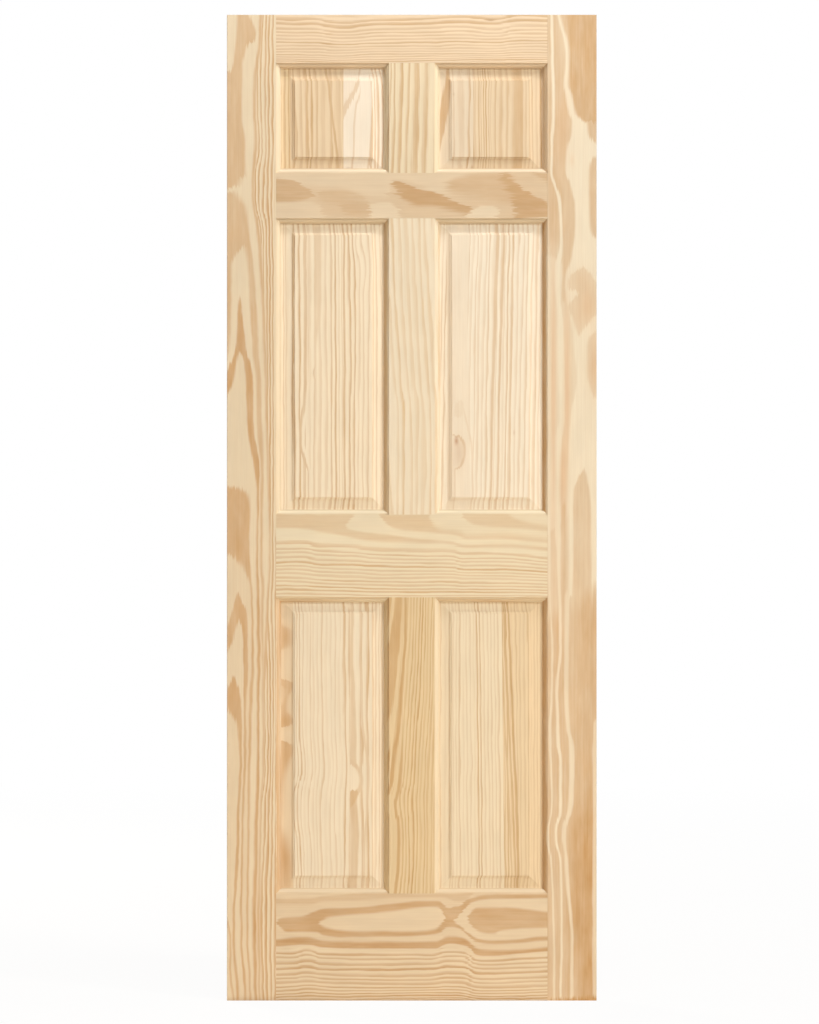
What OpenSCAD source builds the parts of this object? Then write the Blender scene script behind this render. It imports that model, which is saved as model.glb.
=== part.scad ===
// Six-panel interior door leaf in solid pine.
//
// Two stiles run the full height. Four rails and three mullions close on them with coped ends, stub
// tenons and glued dowels, and six raised panels float in the grooves between. The sticking is the same
// moulding on both faces. X runs across the leaf, Y through its thickness with the front face at -Y,
// and Z up. The origin is the middle of the bottom edge.

/* [Leaf] */
// Width of the leaf
leaf_w = 762; // [610:1:915]
// Height of the leaf
leaf_h = 2032; // [1950:1:2150]
// Thickness of the stiles, rails and mullions
leaf_t = 35; // [33:0.5:45]
// Radius that eases the long outer edges of the stiles
edge_ease = 1.2; // [0.4:0.1:3]

/* [Stiles, rails and mullions] */
// Full width of each stile, sticking included
stile_w = 111.4; // [95:0.1:140]
// Full width of the top rail
top_rail_w = 109.3; // [95:0.1:150]
// Full width of the frieze rail under the top row of panels
frieze_rail_w = 113.9; // [105:0.1:150]
// Full width of the lock rail
lock_rail_w = 191; // [120:0.5:240]
// Full width of the bottom rail
bottom_rail_w = 230.8; // [130:0.1:280]
// Full width of each mullion
mullion_w = 115.2; // [95:0.1:140]
// Height of the top row's openings, from edge to edge of their rails
top_opening_h = 206.5; // [150:0.5:300]

/* [Sticking and groove] */
// Depth of the square step at the sight edge
step_d = 3.6; // [1:0.1:4.5]
// Radius of the quarter round
ovolo_r = 8; // [5:0.1:9]
// Width of the flat fillet between the quarter round and the panel
fillet_w = 2.3; // [1:0.1:4]
// Width of the panel groove
groove_t = 6.6; // [5:0.1:8.5]
// Depth of the panel groove from the sticked edge
groove_d = 12.5; // [11.5:0.1:16]

/* [Raised panels] */
// Thickness of a panel at its raised field
panel_t = 21; // [19.5:0.5:26]
// Width of the bevel between the tongue and the bead
bevel_w = 18; // [8:0.1:30]
// Width of the bead that frames the field
bead_w = 4.2; // [3:0.1:9]
// Rise of the bead's round
bead_rise = 0.6; // [0.6:0.1:2.4]
// Height of the small square steps on both sides of the bead
bead_step = 1.9; // [0.6:0.1:2]
// Clearance of the tongue from each cheek of the groove
tongue_clear = 0.15; // [0.1:0.05:0.3]
// Play of a panel at each side, across the grain
side_play = 4.2; // [1:0.1:6]
// Play of a panel at each end, along the grain
end_play = 2.5; // [1:0.1:5]
// Share of the side play by which each panel sits towards the mullion
side_shift = 0.4; // [0:0.05:0.9]
// Share of the end play by which the top row sits high
top_row_lift = -0.64; // [-0.9:0.02:0.9]
// Share of the end play by which the middle row sits high
middle_row_lift = 0.2; // [-0.9:0.02:0.9]
// Share of the end play by which the bottom row sits high
bottom_row_lift = 0.56; // [-0.9:0.02:0.9]

/* [Coped joints] */
// Gap left for glue at every coped shoulder
shoulder_gap = 0.15; // [0.1:0.05:0.3]
// Clearance of a stub tenon from each cheek of the groove
tenon_clear = 0.1; // [0.05:0.05:0.3]
// Gap between the end of a stub tenon and the bottom of the groove
tenon_relief = 0.9; // [0.3:0.1:2]

/* [Dowels] */
// Diameter of the dowels between rails and stiles
rail_dowel_d = 12.7; // [8:0.1:14]
// Length of the dowels between rails and stiles
rail_dowel_len = 127; // [60:1:150]
// Distance of the outer dowels from the ends of a rail's tenon
rail_dowel_edge = 25; // [12:0.5:30]
// Dowels in each end of the top and frieze rails
narrow_rail_dowels = 2; // [2:1:3]
// Dowels in each end of the lock and bottom rails
wide_rail_dowels = 3; // [2:1:4]
// Diameter of the dowels between mullions and rails
mullion_dowel_d = 9.5; // [6:0.1:12]
// Length of the dowels between mullions and rails
mullion_dowel_len = 76; // [40:1:80]
// Distance between the two dowels in each end of a mullion
mullion_dowel_gap = 45; // [20:0.5:60]
// Clearance for glue round every dowel
glue_gap = 0.1; // [0.05:0.05:0.2]
// Depth of every hole past the end of its dowel
hole_relief = 2; // [0.5:0.1:4]
// Chamfer at the ends of a dowel
dowel_chamfer = 1.2; // [0.5:0.1:2]
// Flutes round a dowel
flutes = 8; // [6:1:12]
// Width of the sides of a flute, which is cut as a V
flute_w = 0.9; // [0.4:0.1:1.4]

/* [Hidden] */
$fn = 64;
cut_over = 1;

stile_colour = "#E1C199";
rail_colour = "#E7C79C";
mullion_colour = "#E9CDA3";
panel_colour = "#EED5B0";
dowel_colour = "#E6CFA4";

// Sticking and stub tenon
sticking_w = ovolo_r + fillet_w;
sticking_d = step_d + ovolo_r;
tenon_t = groove_t - 2 * tenon_clear;
tenon_len = groove_d - tenon_relief;

// Openings between the sticked edges, and the lower edge of each rail
rail_span = leaf_w - 2 * stile_w;
opening_w = (rail_span - mullion_w) / 2;
rails_h = top_rail_w + frieze_rail_w + lock_rail_w + bottom_rail_w;
tall_opening_h = (leaf_h - rails_h - top_opening_h) / 2;
bottom_opening_z = bottom_rail_w;
lock_rail_z = bottom_opening_z + tall_opening_h;
middle_opening_z = lock_rail_z + lock_rail_w;
frieze_rail_z = middle_opening_z + tall_opening_h;
top_opening_z = frieze_rail_z + frieze_rail_w;
top_rail_z = top_opening_z + top_opening_h;

// Raised panels: the tongue is as long as the groove is deep, so that the bevel never wedges in it
panel_w = opening_w + 2 * (groove_d - side_play);
tongue_t = groove_t - 2 * tongue_clear;
bead_at = groove_d + bevel_w;
field_at = bead_at + bead_w;
tongue_depth = (panel_t - tongue_t) / 2;
bevel_depth = bead_rise + 2 * bead_step;
bevel_slope = (tongue_depth - bevel_depth) / bevel_w;
bead_r = (bead_w * bead_w + bead_rise * bead_rise) / (2 * bead_rise);

// Heights of the dowels in each rail, between the bottoms of its grooves
function dowel_rows(low, high, count) = [
    for (i = [0 : count - 1])
        low + rail_dowel_edge + i * (high - low - 2 * rail_dowel_edge) / (count - 1)
];
bottom_rail_rows = dowel_rows(0, bottom_rail_w - groove_d, wide_rail_dowels);
lock_rail_rows = dowel_rows(lock_rail_z + groove_d, middle_opening_z - groove_d, wide_rail_dowels);
frieze_rail_rows = dowel_rows(frieze_rail_z + groove_d, top_opening_z - groove_d, narrow_rail_dowels);
top_rail_rows = dowel_rows(top_rail_z + groove_d, leaf_h, narrow_rail_dowels);

// What the sticking cutter takes off one face. The sight edge lies at the origin, with the panel
// towards +X and the depth of the moulding towards +Y.
module sticking_waste(above = cut_over) {
    difference() {
        translate([0, -above]) square([sticking_w + cut_over, above + sticking_d]);
        translate([0, sticking_d]) circle(r = ovolo_r);
    }
}

// What is cut from a bar's section along one sticked edge, which lies at X = 0 with the bar on -X.
module sticked_edge_waste() {
    for (face = [0, 1])
        mirror([0, face]) translate([-sticking_w, -leaf_t / 2]) sticking_waste();
    translate([-groove_d, -groove_t / 2]) square([groove_d + cut_over, groove_t]);
}

// What eases the two arrises of a square outer edge, which lies at X = 0 with the bar on +X.
module eased_edge_waste() {
    for (face = [0, 1])
        mirror([0, face])
            difference() {
                translate([-cut_over, -leaf_t / 2 - cut_over]) square(edge_ease + cut_over);
                translate([edge_ease, edge_ease - leaf_t / 2]) circle(r = edge_ease);
            }
}

// Section of a bar, from X = 0 to its width, with sticking on the edges that hold panels.
module bar_section(w, low_edge, high_edge) {
    difference() {
        translate([0, -leaf_t / 2]) square([w, leaf_t]);
        if (low_edge) mirror([1, 0]) sticked_edge_waste();
        if (high_edge) translate([w, 0]) sticked_edge_waste();
    }
}

// What a coped end gives way to. The sticked edge that it closes on lies at X = 0, with the coped
// piece on +X. Only the stub tenon is left between the two halves.
module cope_waste() {
    for (face = [0, 1])
        mirror([0, face])
            difference() {
                translate([-groove_d, -leaf_t / 2 - cut_over])
                    square([groove_d + shoulder_gap, (leaf_t - tenon_t) / 2 + cut_over]);
                translate([shoulder_gap - sticking_w, -leaf_t / 2]) sticking_waste(2 * cut_over);
            }
}

// Lays a section's X along Z and extrudes it along X, centred.
module along_x(len) {
    rotate([0, -90, 0]) linear_extrude(len, center = true) children();
}

// Hole for a dowel, centred, along Z.
module dowel_hole(d, len) {
    cylinder(d = d + 2 * glue_gap, h = len + 2 * hole_relief, center = true);
}

// Fluted dowel with chamfered ends, centred, along Z.
module dowel(d, len) {
    difference() {
        rotate_extrude()
            polygon([
                [0, -len / 2], [d / 2 - dowel_chamfer, -len / 2], [d / 2, dowel_chamfer - len / 2],
                [d / 2, len / 2 - dowel_chamfer], [d / 2 - dowel_chamfer, len / 2], [0, len / 2],
            ]);
        for (i = [0 : flutes - 1])
            rotate([0, 0, i * 360 / flutes])
                translate([d / 2, 0, 0]) rotate([0, 0, 45])
                    cube([flute_w, flute_w, len + 2 * cut_over], center = true);
    }
}

// Puts a dowel or its hole at every row of a rail, on the sticked edges of both stiles.
module at_rail_joints(rows) {
    for (side = [-1, 1])
        for (z = rows)
            translate([side * rail_span / 2, 0, z]) rotate([0, 90, 0]) children();
}

// Puts a dowel or its hole at both places of a mullion's end, on a rail's sticked edge.
module at_mullion_joint(z) {
    for (side = [-1, 1])
        translate([side * mullion_dowel_gap / 2, 0, z]) children();
}

module rail_dowel_holes(rows) {
    at_rail_joints(rows) dowel_hole(rail_dowel_d, rail_dowel_len);
}

module mullion_dowel_holes(z) {
    at_mullion_joint(z) dowel_hole(mullion_dowel_d, mullion_dowel_len);
}

// Left stile; the right one is its mirror image.
module stile() {
    difference() {
        translate([-leaf_w / 2, 0, 0])
            linear_extrude(leaf_h)
                difference() {
                    bar_section(stile_w, false, true);
                    eased_edge_waste();
                }
        rail_dowel_holes(concat(bottom_rail_rows, lock_rail_rows, frieze_rail_rows, top_rail_rows));
    }
}

// Rail from its lower edge up, coped onto both stiles.
module rail(z, w, low_edge, high_edge, rows) {
    difference() {
        translate([0, 0, z]) along_x(rail_span + 2 * tenon_len) bar_section(w, low_edge, high_edge);
        for (side = [0, 1])
            mirror([side, 0, 0])
                translate([-rail_span / 2, 0, z - cut_over]) linear_extrude(w + 2 * cut_over) cope_waste();
        rail_dowel_holes(rows);
    }
}

// Mullion between two rails, coped onto both.
module mullion(z, opening_h) {
    difference() {
        translate([-mullion_w / 2, 0, z - tenon_len])
            linear_extrude(opening_h + 2 * tenon_len) bar_section(mullion_w, true, true);
        for (end = [0, 1])
            translate([0, 0, z + end * opening_h])
                mirror([0, 0, end]) along_x(mullion_w + 2 * cut_over) cope_waste();
        mullion_dowel_holes(z);
        mullion_dowel_holes(z + opening_h);
    }
}

// What the raising cutter takes off one face along one edge. The edge of the panel lies at X = 0 on the
// plane of the field, with the field towards +X and the depth towards +Y. From the field outwards there
// are a small step, a round bead, a second step, the bevel, which the bead stands on, and the flat of
// the tongue.
module raising_waste() {
    difference() {
        polygon([
            [-cut_over, -cut_over], [field_at, -cut_over], [field_at, bevel_depth - bevel_slope * bead_w],
            [groove_d, tongue_depth], [-cut_over, tongue_depth],
        ]);
        intersection() {
            translate([field_at, bead_step + bead_r]) circle(r = bead_r);
            translate([bead_at, 0]) square([bead_w + cut_over, tongue_depth]);
        }
    }
}

// Section across a raised panel, centred, the same on both faces and from both edges.
module panel_section(w) {
    difference() {
        square([w, panel_t], center = true);
        for (face = [0, 1], edge = [0, 1])
            mirror([0, face]) mirror([edge, 0]) translate([-w / 2, -panel_t / 2]) raising_waste();
    }
}

// Raised panel: the cutter's four straight passes, two along the grain and two across it.
module panel(h) {
    intersection() {
        linear_extrude(h, center = true) panel_section(panel_w);
        along_x(panel_w) panel_section(h);
    }
}

// Places a panel in its opening, within the play of its grooves.
module panel_at(side, opening_z, opening_h, lift) {
    x = side * ((mullion_w + opening_w) / 2 - side_shift * side_play);
    z = opening_z + opening_h / 2 + lift * end_play;
    translate([x, 0, z]) panel(opening_h + 2 * (groove_d - end_play));
}

module left_stile() { color(stile_colour) stile(); }
module right_stile() { color(stile_colour) mirror([1, 0, 0]) stile(); }

module top_rail() {
    color(rail_colour) difference() {
        rail(top_rail_z, top_rail_w, true, false, top_rail_rows);
        mullion_dowel_holes(top_rail_z);
    }
}

module frieze_rail() {
    color(rail_colour) difference() {
        rail(frieze_rail_z, frieze_rail_w, true, true, frieze_rail_rows);
        mullion_dowel_holes(frieze_rail_z);
        mullion_dowel_holes(top_opening_z);
    }
}

module lock_rail() {
    color(rail_colour) difference() {
        rail(lock_rail_z, lock_rail_w, true, true, lock_rail_rows);
        mullion_dowel_holes(lock_rail_z);
        mullion_dowel_holes(middle_opening_z);
    }
}

module bottom_rail() {
    color(rail_colour) difference() {
        rail(0, bottom_rail_w, false, true, bottom_rail_rows);
        mullion_dowel_holes(bottom_opening_z);
    }
}

module top_mullion() { color(mullion_colour) mullion(top_opening_z, top_opening_h); }
module middle_mullion() { color(mullion_colour) mullion(middle_opening_z, tall_opening_h); }
module bottom_mullion() { color(mullion_colour) mullion(bottom_opening_z, tall_opening_h); }

module top_panel(side) { color(panel_colour) panel_at(side, top_opening_z, top_opening_h, top_row_lift); }
module middle_panel(side) {
    color(panel_colour) panel_at(side, middle_opening_z, tall_opening_h, middle_row_lift);
}
module bottom_panel(side) {
    color(panel_colour) panel_at(side, bottom_opening_z, tall_opening_h, bottom_row_lift);
}

module rail_dowels(rows) {
    color(dowel_colour) at_rail_joints(rows) dowel(rail_dowel_d, rail_dowel_len);
}

module mullion_dowels(z, opening_h) {
    color(dowel_colour)
        for (end_z = [z, z + opening_h])
            at_mullion_joint(end_z) dowel(mullion_dowel_d, mullion_dowel_len);
}

left_stile();
right_stile();
top_rail();
frieze_rail();
lock_rail();
bottom_rail();
top_mullion();
middle_mullion();
bottom_mullion();
top_panel(-1);  // top_left_panel
top_panel(1);  // top_right_panel
middle_panel(-1);  // middle_left_panel
middle_panel(1);  // middle_right_panel
bottom_panel(-1);  // bottom_left_panel
bottom_panel(1);  // bottom_right_panel
rail_dowels(top_rail_rows);  // top_rail_dowels
rail_dowels(frieze_rail_rows);  // frieze_rail_dowels
rail_dowels(lock_rail_rows);  // lock_rail_dowels
rail_dowels(bottom_rail_rows);  // bottom_rail_dowels
mullion_dowels(top_opening_z, top_opening_h);  // top_mullion_dowels
mullion_dowels(middle_opening_z, tall_opening_h);  // middle_mullion_dowels
mullion_dowels(bottom_opening_z, tall_opening_h);  // bottom_mullion_dowels
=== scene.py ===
"""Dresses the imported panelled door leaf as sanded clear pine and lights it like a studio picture."""

import logging
from dataclasses import dataclass, field
from enum import Enum
from typing import Any, Optional, Union

import bpy
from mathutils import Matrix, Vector


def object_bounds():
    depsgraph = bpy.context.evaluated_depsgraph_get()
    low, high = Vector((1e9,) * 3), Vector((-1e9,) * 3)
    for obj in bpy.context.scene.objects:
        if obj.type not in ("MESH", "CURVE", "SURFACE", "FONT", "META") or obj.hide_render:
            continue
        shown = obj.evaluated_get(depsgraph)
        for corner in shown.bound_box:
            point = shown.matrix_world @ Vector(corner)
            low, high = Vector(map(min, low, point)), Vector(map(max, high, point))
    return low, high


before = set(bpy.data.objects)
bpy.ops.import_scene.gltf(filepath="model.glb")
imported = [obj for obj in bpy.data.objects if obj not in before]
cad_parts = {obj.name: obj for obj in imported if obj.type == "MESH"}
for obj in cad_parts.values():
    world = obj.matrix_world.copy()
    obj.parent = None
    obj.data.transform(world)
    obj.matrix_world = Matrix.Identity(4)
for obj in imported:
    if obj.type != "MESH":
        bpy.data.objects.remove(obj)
CAD_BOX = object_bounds()

log = logging.getLogger("door")

Path = tuple[tuple[float, float], ...]
Place = tuple[float, float, float]
Socket = bpy.types.NodeSocket
Value = Union[Socket, float]

# Millimetres in a metre, and the size of the leaf in mm.
MM = 1000.0
LEAF_W, LEAF_T, LEAF_H = (MM * (CAD_BOX[1][i] - CAD_BOX[0][i]) for i in range(3))


def linear(code: str) -> tuple[float, float, float, float]:
    """Turns a colour written as on screen into the light values that shaders use.

    Args:
        code: sRGB colour as six hex digits.

    Returns:
        Linear red, green, blue and an alpha of one.
    """
    parts = [int(code[i:i + 2], 16) / 255.0 for i in (0, 2, 4)]
    low = [c / 12.92 if c <= 0.04045 else ((c + 0.055) / 1.055) ** 2.4 for c in parts]
    return (low[0], low[1], low[2], 1.0)


def add_node(tree: bpy.types.NodeTree, kind: str, *values: Any, out: int = 0, **settings: Any) -> Socket:
    """Adds one node with its settings, and links or sets its inputs in order.

    Args:
        tree: the node tree.
        kind: Blender's name for the node.
        values: sockets to link or constants to set, None to leave an input alone.
        out: which output to return.
        settings: attributes of the node.

    Returns:
        The chosen output socket, or None for a node without outputs.
    """
    node = tree.nodes.new(kind)
    for key, setting in settings.items():
        setattr(node, key, setting)
    for socket, value in zip(node.inputs, values):
        if isinstance(value, bpy.types.NodeSocket):
            tree.links.new(value, socket)
        elif value is not None:
            socket.default_value = value
    return node.outputs[out] if node.outputs else None


def empty_tree(owner: Union[bpy.types.Material, bpy.types.World]) -> bpy.types.NodeTree:
    """Turns on the nodes of a material or a world and clears them.

    Args:
        owner: the material or the world.

    Returns:
        Its empty node tree.
    """
    owner.use_nodes = True
    owner.node_tree.nodes.clear()
    return owner.node_tree


class Grain(Enum):
    """Which way the fibres of a piece run."""

    UPRIGHT = "up the leaf"
    LEVEL = "across the leaf"


@dataclass(frozen=True)
class Pine:
    """Finish of one board: bare clear pine, planed and sanded.

    Attributes:
        early: colour of the pale spring wood.
        late: colour of the tan summer wood.
        knot: colour of knots and resin spots; marks also mix it in as painted shade along the leaf's
            bottom edge.
    """

    early: str
    late: str
    knot: str = "9A6A3E"


@dataclass(frozen=True)
class Sanding:
    """Face that planing and sanding leave on the pine.

    Attributes:
        strand: range of brightness from fibre to fibre.
        rough: roughness of the spring wood and of the summer wood.
        shine: strength of the reflections.
        proud: how far summer wood stands above spring wood, in metres.
        relief: share of that height which shows.
        fibre: height of a fibre beside that of the summer wood.
    """

    strand: tuple[float, float] = (0.982, 1.018)
    rough: tuple[float, float] = (0.72, 0.62)
    shine: float = 0.1
    proud: float = 0.00012
    relief: float = 0.35
    fibre: float = 0.5


@dataclass(frozen=True)
class Beech:
    """Finish of the dowels: bare beech with fine flecks.

    Attributes:
        ground: main colour.
        fleck: colour of the short rays.
        along: flecks in each metre along the fibres.
        across: flecks in each metre across the fibres.
        span: where in the noise a fleck begins and is full.
        rough: roughness of the surface.
        shine: strength of the reflections.
    """

    ground: str = "E6CFA4"
    fleck: str = "C9A672"
    along: float = 120.0
    across: float = 900.0
    span: tuple[float, float] = (0.5, 0.68)
    rough: float = 0.6
    shine: float = 0.2


@dataclass(frozen=True)
class Rings:
    """Growth rings cut lengthwise, seen as lines that run between two guides.

    Every line keeps its share of the way from one guide to the other. Within a ring the
    wood darkens slowly and breaks off at the ring's end.

    Attributes:
        inner: guide on the side of the pith, as (along, across) points in mm.
        outer: guide on the side of the bark.
        ends: where each ring ends, as rising shares of the way between the guides.
    """

    inner: Path
    outer: Path
    ends: tuple[float, ...]


@dataclass(frozen=True)
class Patch:
    """A flame or a streak of the figure, drawn by its two edges; some patches instead paint highlights
    and shade onto the sticking, and shade along the bottom edge.

    Attributes:
        tone: 1 for tan summer wood, 0 for pale spring wood.
        far: right or lower edge, as (along, across) points in mm.
        near: left or upper edge; None where the patch runs off the board.
        soft: how far the near and the far edge blend, in mm; a path where that changes.
    """

    tone: float
    far: Optional[Path]
    near: Optional[Path] = None
    soft: tuple[Union[float, Path], Union[float, Path]] = (4.0, 4.0)


def streak(tone: float, course: tuple[Place, ...], soft: tuple[float, float] = (4.0, 4.0)) -> Patch:
    """Draws a patch whose two edges are read at the same places.

    Args:
        tone: 1 for tan summer wood, 0 for pale spring wood.
        course: (along, near edge, far edge) points in mm.
        soft: how far the near and the far edge blend, in mm.

    Returns:
        The patch.
    """
    near = tuple((along, edge) for along, edge, _ in course)
    far = tuple((along, edge) for along, _, edge in course)
    return Patch(tone, far, near, soft)


@dataclass(frozen=True)
class Mark:
    """A soft oval spot in the wood: a knot, or a place where the rings swerve; a very long, flat spot
    paints shade along the leaf's bottom edge.

    Attributes:
        along: middle of the spot along the fibres, in mm.
        across: middle of the spot across the fibres, in mm.
        length: half length along the fibres, in mm.
        width: half width across the fibres, in mm.
        swerve: how far the lines are pushed aside at the middle, in mm.
        stain_and_shade: share of the knot colour at the middle of the spot; for knots a stain, for the
            long spots along the bottom edge painted shade.
    """

    along: float
    across: float
    length: float
    width: float
    swerve: float = 0.0
    stain_and_shade: float = 0.0


@dataclass(frozen=True)
class Stave:
    """One board of a piece, with its own figure, or a paler strip that paints a highlight.

    Attributes:
        pine: the board's finish.
        rings: its ring lines, or None for a board that shows only patches.
        patches: flames and streaks, and painted highlights and shade on the sticking and the bottom
            edge, painted in order over the lines.
        start: path of the glue line on its left or upper edge, or of a painted highlight's edge.
        base: tone of the wood where no line or patch lies.
        lean: how far the figure moves sideways for each mm of depth.
        ragged: how far the fibres draw out the edges, in mm.
        even: least strength of a ring line, 1 where all are alike.
        wander: how far the ring lines stray from their path, in rings.
        thin: range of the lines' thinness, from 0.5 for broad to 2 for fine.
        ripple: how far the lines sway from side to side, in mm.
        side: where the board's bare side lies across the fibres, in mm; rings show on it as
            close straight lines.
    """

    pine: Pine
    rings: Optional[Rings] = None
    patches: tuple[Patch, ...] = ()
    start: Path = ((0.0, -1000.0),)
    base: float = 0.0
    lean: float = 0.45
    ragged: float = 18.0
    even: float = 0.5
    wander: float = 0.3
    thin: tuple[float, float] = (0.6, 1.4)
    ripple: float = 0.7
    side: Optional[float] = None


@dataclass(frozen=True)
class Pattern:
    """Noise in the wood, drawn out along the fibres.

    Attributes:
        size: size of its clouds across the fibres, in depth and along them, in mm.
        low: value at the low end of what the noise gives.
        high: value at the high end.
    """

    size: Place
    low: float = -1.0
    high: float = 1.0


# How ring lines stray, in rings, and how their strength changes on the way.
JITTER = Pattern((3.0, 3.0, 80.0), -0.08, 0.08)
STRAY = Pattern((16.0, 16.0, 240.0))
FADE = Pattern((9.0, 9.0, 260.0), 0.75, 1.15)

# How the whole figure sways across the fibres and is drawn out along them, in mm.
WAVER = Pattern((45.0, 45.0, 170.0), -1.6, 1.6)
RIPPLE = Pattern((30.0, 30.0, 45.0))
DRAWN = Pattern((2.4, 2.4, 60.0), -0.5, 0.5)

# Tone of the close rings on a bare side, then slow and fine changes of every tone.
CLOSE = Pattern((400.0, 2.2, 700.0), 0.0, 0.9)
CLOUD = Pattern((15.0, 15.0, 70.0), 0.82, 1.14)
PIN = Pattern((3.2, 3.2, 150.0), -0.06, 0.08)

# Single fibres, and the slow mottle of the sanded face.
FIBRE = Pattern((1.4, 1.4, 60.0), 0.0, 1.0)
MOTTLE = Pattern((26.0, 26.0, 90.0), 0.97, 1.03)

# What the noise mostly gives, and how far each seed moves it in the three directions.
NOISE_SPAN = (0.25, 0.75)
SEED_STEPS = (7.3, 3.1, 11.7)

# Place within a ring and tone there: pale spring wood, tan summer wood, and a crisp end.
RING_STOPS = ((0.0, 0.15), (0.1, 0.0), (0.4, 0.1), (0.7, 0.8), (0.88, 1.0), (1.0, 0.15))
# The part of a ring that is left past the last ring's end, up to just beyond the outer guide.
LAST_PART = (1.001, 0.6)
# Above one, so that strong lines are rarer than weak ones.
RARITY = 1.6

# Room above and below the values of a path, and reach of a bare side, in mm.
PATH_MARGIN = 2.0
SIDE_REACH = 0.4
# A mark's slope in depth beside its slope across the fibres.
MARK_DEPTH = 0.25


@dataclass
class PineTexture:
    """Sanded clear pine as a solid texture in mm of the leaf.

    Places are measured along the fibres, across them and behind the front face, from the
    leaf's top left corner.
    """

    name: str
    grain: Grain
    staves: tuple[Stave, ...]
    marks: tuple[Mark, ...]
    seed: float
    face: Sanding = Sanding()
    tree: Any = field(default=None, init=False)

    def add(self, kind: str, *values: Any, out: int = 0, **settings: Any) -> Socket:
        """Adds one node to this material's tree; see add_node."""
        return add_node(self.tree, kind, *values, out=out, **settings)

    def math(self, operation: str, *values: Any, **settings: Any) -> Socket:
        """Adds one Math node to this material's tree; see add_node."""
        return self.add("ShaderNodeMath", *values, operation=operation, **settings)

    def noise(self, place: Socket, pattern: Pattern, amount: float = 1.0) -> Socket:
        """Noise drawn out along the fibres.

        Args:
            place: vector of across, depth and along in mm.
            pattern: size and range of the noise.
            amount: factor on the range.

        Returns:
            Socket with the noise, mostly within the range.
        """
        share = tuple(1.0 / size for size in pattern.size)
        shift = tuple(self.seed * step for step in SEED_STEPS)
        at = self.add("ShaderNodeVectorMath", place, share, shift, operation="MULTIPLY_ADD")
        scale, detail, rough = 1.0, 2.0, 0.55
        cloud = self.add("ShaderNodeTexNoise", at, None, scale, detail, rough)
        return self.add("ShaderNodeMapRange", cloud, *NOISE_SPAN, amount * pattern.low,
                        amount * pattern.high, clamp=False)

    def follow(self, points: Path, along: Socket) -> Value:
        """Reads a smooth path through given points.

        Args:
            points: (along, value) points in mm.
            along: socket that holds the place along the fibres in mm.

        Returns:
            A socket with the value in mm, or a plain number if the path has one point.
        """
        if len(points) == 1:
            return points[0][1]
        first, last = points[0][0], points[-1][0]
        low = min(point[1] for point in points) - PATH_MARGIN
        high = max(point[1] for point in points) + PATH_MARGIN
        share = self.add("ShaderNodeMapRange", along, first, last, 0.0, 1.0)
        shaped = self.add("ShaderNodeFloatCurve", 1.0, share)
        mapping = shaped.node.mapping
        knots = mapping.curves[0].points
        while len(knots) < len(points):
            knots.new(0.5, 0.5)
        for knot, (place, value) in zip(knots, points):
            knot.location = ((place - first) / (last - first), (value - low) / (high - low))
            knot.handle_type = "AUTO_CLAMPED"
        mapping.update()
        return self.math("MULTIPLY_ADD", shaped, high - low, low)

    def bell(self, place: Socket, mark: Mark) -> Socket:
        """Bell-shaped weight of a mark: one at its middle, near zero past its edge.

        Args:
            place: vector of across, depth and along in mm.
            mark: the mark.

        Returns:
            Socket with exp of minus the squared distance in mark radii.
        """
        off = self.add("ShaderNodeVectorMath", place, (mark.across, 0.0, mark.along),
                       operation="SUBTRACT")
        part = (1.0 / mark.width, MARK_DEPTH / mark.width, 1.0 / mark.length)
        near = self.add("ShaderNodeVectorMath", off, part, operation="MULTIPLY")
        square = self.add("ShaderNodeVectorMath", near, near, operation="DOT_PRODUCT", out=1)
        minus = self.math("MULTIPLY", square, -1.0)
        return self.math("EXPONENT", minus)

    def lines(self, stave: Stave, place: Socket, across: Socket, along: Socket) -> Socket:
        """Tone of a board's ring lines.

        The share of the way between the guides is turned into a ring count, and the fraction
        of the count sets the tone. Each ring has a strength and a width of its own, and every
        line fades and strays a little on its way.

        Args:
            stave: the board.
            place: vector of across, depth and along in mm.
            across: across the fibres in mm, after the board's small shifts.
            along: along the fibres in mm, after the board's small shifts.

        Returns:
            Socket with the tone, from 0 for spring wood to 1 for summer wood.
        """
        rings = stave.rings
        inner = self.follow(rings.inner, along)
        outer = self.follow(rings.outer, along)
        share = self.add("ShaderNodeMapRange", across, inner, outer, 0.0, 1.0)
        steps = ((0.0, 0.0),) + tuple((end, float(i + 1)) for i, end in enumerate(rings.ends))
        steps += ((LAST_PART[0], len(rings.ends) + LAST_PART[1]),)
        count = self.follow(steps, share)
        for knot in count.node.inputs[0].links[0].from_node.mapping.curves[0].points:
            knot.handle_type = "VECTOR"
        for stray in (self.noise(place, JITTER), self.noise(place, STRAY, stave.wander)):
            count = self.math("ADD", count, stray)
        part = self.math("FRACT", count)
        year = self.math("FLOOR", count)
        chance = self.math("ADD", year, self.seed)
        dice = self.add("ShaderNodeTexWhiteNoise", None, chance, noise_dimensions="1D").node.outputs
        thin = self.add("ShaderNodeMapRange", dice[0], 0.0, 1.0, *stave.thin)
        part = self.math("POWER", part, thin)
        summer = self.add("ShaderNodeValToRGB", part)
        ramp = summer.node.color_ramp
        ramp.interpolation = "EASE"
        while len(ramp.elements) < len(RING_STOPS):
            ramp.elements.new(0.5)
        for element, (spot, tone) in zip(ramp.elements, RING_STOPS):
            element.position = spot
            element.color = (tone, tone, tone, 1.0)
        bright = self.add("ShaderNodeSeparateColor", dice[1], out=1)
        bright = self.math("POWER", bright, RARITY)
        strong = self.add("ShaderNodeMapRange", bright, 0.0, 1.0, stave.even, 1.0)
        strong = self.math("MULTIPLY", strong, self.noise(place, FADE))
        return self.math("MULTIPLY", summer, strong)

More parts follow.
